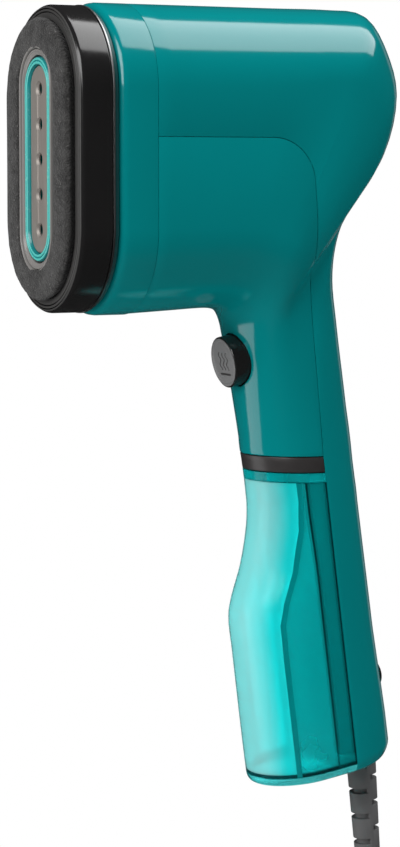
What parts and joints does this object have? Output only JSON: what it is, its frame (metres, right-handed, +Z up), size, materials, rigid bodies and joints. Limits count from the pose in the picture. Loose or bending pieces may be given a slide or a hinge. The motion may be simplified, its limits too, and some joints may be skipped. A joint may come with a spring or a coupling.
{
  "type": "garment steamer",
  "caption": "Hand-held garment steamer with a stadium-shaped padded head, round grip with a thumb-sized trigger, clear slide-off water tank and mains lead.",
  "frame": {"origin": "middle of the grip, on the handle's axis", "axes": "-Y is where the steam goes, +Z is up with the head above the handle, +X is across"},
  "size_m": [0.0782, 0.1447, 0.5454],
  "materials": {
    "teal_gloss": "high-gloss moulded plastic",
    "teal_dark": "dark glossy moulded plastic",
    "teal_clear": "clear tinted plastic",
    "black_gloss": "glossy black plastic",
    "black_satin": "satin black plastic",
    "grey_plastic": "satin grey plastic",
    "pad_fabric": "short dark grey pile",
    "bronze_plate": "satin bronze-coloured pressed metal",
    "bright_trim": "thin bright trim",
    "aluminium_cast": "die cast",
    "steel": "plain steel",
    "brass": "stamped brass",
    "silicone": "translucent silicone rubber",
    "rubber_black": "black rubber",
    "inner_plastic": "heat-resistant plastic",
    "switch_plastic": "moulded switch case",
    "copper_coil": "wound copper",
    "board": "coated circuit board",
    "cord_sheath": "satin black cord sheath",
    "pin_metal": "nickel-plated pins"
  },
  "bodies": {
    "housing": {"front_shell": "teal_gloss", "back_shell": "teal_gloss", "handle_band": "black_satin", "tank_socket": "inner_plastic", "steam_plate": "bronze_plate", "nozzle_ring": "teal_gloss", "steam_manifold": "inner_plastic", "collar": "teal_dark", "front_ring": "teal_gloss", "steam_duct": "silicone", "boiler_cover": "aluminium_cast", "boiler_gasket": "silicone", "boiler_base": "aluminium_cast", "heating_element": "steel", "element_clamp": "steel", "clamp_screw": "steel", "thermostat": "brass", "thermal_fuse": "inner_plastic", "boiler_mount_upper": "inner_plastic", "boiler_mount_lower": "inner_plastic", "ring_screw_upper": "steel", "ring_screw_lower": "steel", "pump_body": "inner_plastic", "pump_coil": "copper_coil", "pump_mount_lower": "rubber_black", "pump_mount_upper": "rubber_black", "pump_spring": "steel", "outlet_hose": "silicone", "inlet_hose": "silicone", "trigger_spring": "steel", "switch_holder": "inner_plastic", "trigger_switch": "switch_plastic", "power_switch": "switch_plastic", "control_board": "board", "board_relay": "switch_plastic", "inner_lead": "cord_sheath", "cord_clamp": "inner_plastic", "cord_clamp_screw": "steel", "strain_relief": "rubber_black", "cord": "cord_sheath", "cord_hank": "cord_sheath", "cord_tie": "rubber_black", "plug_lead": "cord_sheath", "plug_body": "rubber_black", "plug_pin_left": "pin_metal", "plug_pin_right": "pin_metal"},
    "tank": {"tank_front": "teal_clear", "tank_rear": "teal_clear", "tank_floor": "teal_clear", "tank_roof": "teal_clear", "outlet_seal": "silicone", "filler_stopper": "rubber_black", "pickup_tube": "teal_clear"},
    "pad": {"fabric_pad": "pad_fabric", "pad_lip": "grey_plastic", "pad_frame": "black_gloss", "frame_trim": "bright_trim"},
    "trigger": {"trigger_button": "black_satin"},
    "power": {"power_button": "black_gloss"},
    "plunger": {"pump_plunger": "steel"}
  },
  "joints": [
    {"name": "tank_slide", "type": "slide", "parent": "housing", "child": "tank", "axis": [0, 0, -1], "range_m": [0, 0.115]},
    {"name": "pad_pull", "type": "slide", "parent": "housing", "child": "pad", "axis": [0, -1, 0], "range_m": [0, 0.03]},
    {"name": "trigger_press", "type": "slide", "parent": "housing", "child": "trigger", "axis": [0, 0.982, 0.1891], "range_m": [0, 0.0025], "stiffness_N_per_m": 900, "deforming": ["trigger_spring"]},
    {"name": "power_press", "type": "slide", "parent": "housing", "child": "power", "axis": [0, -0.9898, -0.1426], "range_m": [0, 0.0012], "stiffness_N_per_m": 1500},
    {"name": "plunger_stroke", "type": "slide", "parent": "housing", "child": "plunger", "axis": [0, 0, 1], "range_m": [0, 0.002], "stiffness_N_per_m": 600, "deforming": ["pump_spring"]}
  ]
}
